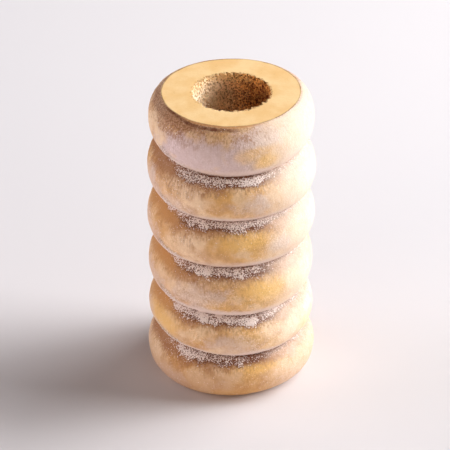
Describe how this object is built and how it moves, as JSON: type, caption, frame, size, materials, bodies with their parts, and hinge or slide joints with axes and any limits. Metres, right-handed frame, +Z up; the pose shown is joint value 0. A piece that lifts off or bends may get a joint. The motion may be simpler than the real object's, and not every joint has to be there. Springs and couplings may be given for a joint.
{
  "type": "baumkuchen",
  "caption": "Tall log of spit-baked layer cake with rounded ridges, sugared grooves, flat cut ends and a rough bore straight through the middle.",
  "frame": {"origin": "middle of the flat base, on the axis of the bore", "axes": "+Z up along the bore; the picture looks along +Y, with +X to its right"},
  "size_m": [0.0939, 0.0934, 0.1731],
  "materials": {
    "crust": "dry golden-brown sponge crust, darker beside the grooves and frosted with sugar",
    "crumb": "soft fine-pored crumb, golden on the cut ends and browned and torn open in the bore",
    "sugar": "dry white sugar grains"
  },
  "bodies": {
    "root": {"baumkuchen": "crust"}
  },
  "joints": []
}
